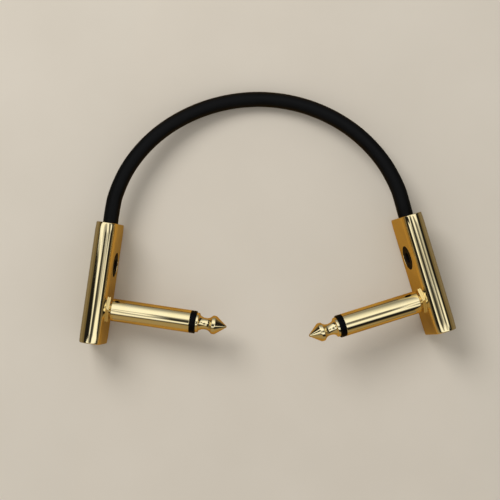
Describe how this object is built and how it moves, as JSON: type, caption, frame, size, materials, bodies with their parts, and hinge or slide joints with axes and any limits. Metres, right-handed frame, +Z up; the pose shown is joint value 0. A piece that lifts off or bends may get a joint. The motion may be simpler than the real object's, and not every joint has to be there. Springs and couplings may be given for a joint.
{
  "type": "instrument cable",
  "caption": "Short black instrument patch cable in a wide arc, with flat low-profile right-angle 6.35 mm mono plugs in polished gold plate at its ends.",
  "frame": {"origin": "on the surface, under the middle of the box round the two plugs", "axes": "+X from the left plug to the right one, +Y towards the side the cable arcs out on, +Z up"},
  "size_m": [0.105, 0.0716, 0.0168],
  "materials": {
    "gold_plate": "mirror-polished gold plate over solid brass",
    "black_oxide": "black oxide steel",
    "black_nylon": "smooth black nylon",
    "black_jacket": "satin black flexible jacket",
    "white_nylon": "natural nylon",
    "brass": "turned brass",
    "hard_steel": "hardened steel",
    "tinned_copper": "served tinned copper strands",
    "foam_polyethylene": "foamed polyethylene",
    "bare_copper": "bright stranded copper"
  },
  "bodies": {
    "root": {"housing_left": "gold_plate", "clamp_screw_left": "black_oxide", "lock_nut_left": "gold_plate", "sleeve_left": "gold_plate", "insulator_ring_left": "black_nylon", "insulator_liner_left": "white_nylon", "rear_bush_left": "white_nylon", "centre_rod_left": "brass", "plug_tip_left": "gold_plate", "piercing_pin_left": "hard_steel", "jacket_end_left": "black_jacket", "shield_end_left": "tinned_copper", "dielectric_end_left": "foam_polyethylene", "conductor_end_left": "bare_copper", "housing_right": "gold_plate", "clamp_screw_right": "black_oxide", "lock_nut_right": "gold_plate", "sleeve_right": "gold_plate", "insulator_ring_right": "black_nylon", "insulator_liner_right": "white_nylon", "rear_bush_right": "white_nylon", "centre_rod_right": "brass", "plug_tip_right": "gold_plate", "piercing_pin_right": "hard_steel", "jacket_end_right": "black_jacket", "shield_end_right": "tinned_copper", "dielectric_end_right": "foam_polyethylene", "conductor_end_right": "bare_copper", "cable": "black_jacket"}
  },
  "joints": []
}
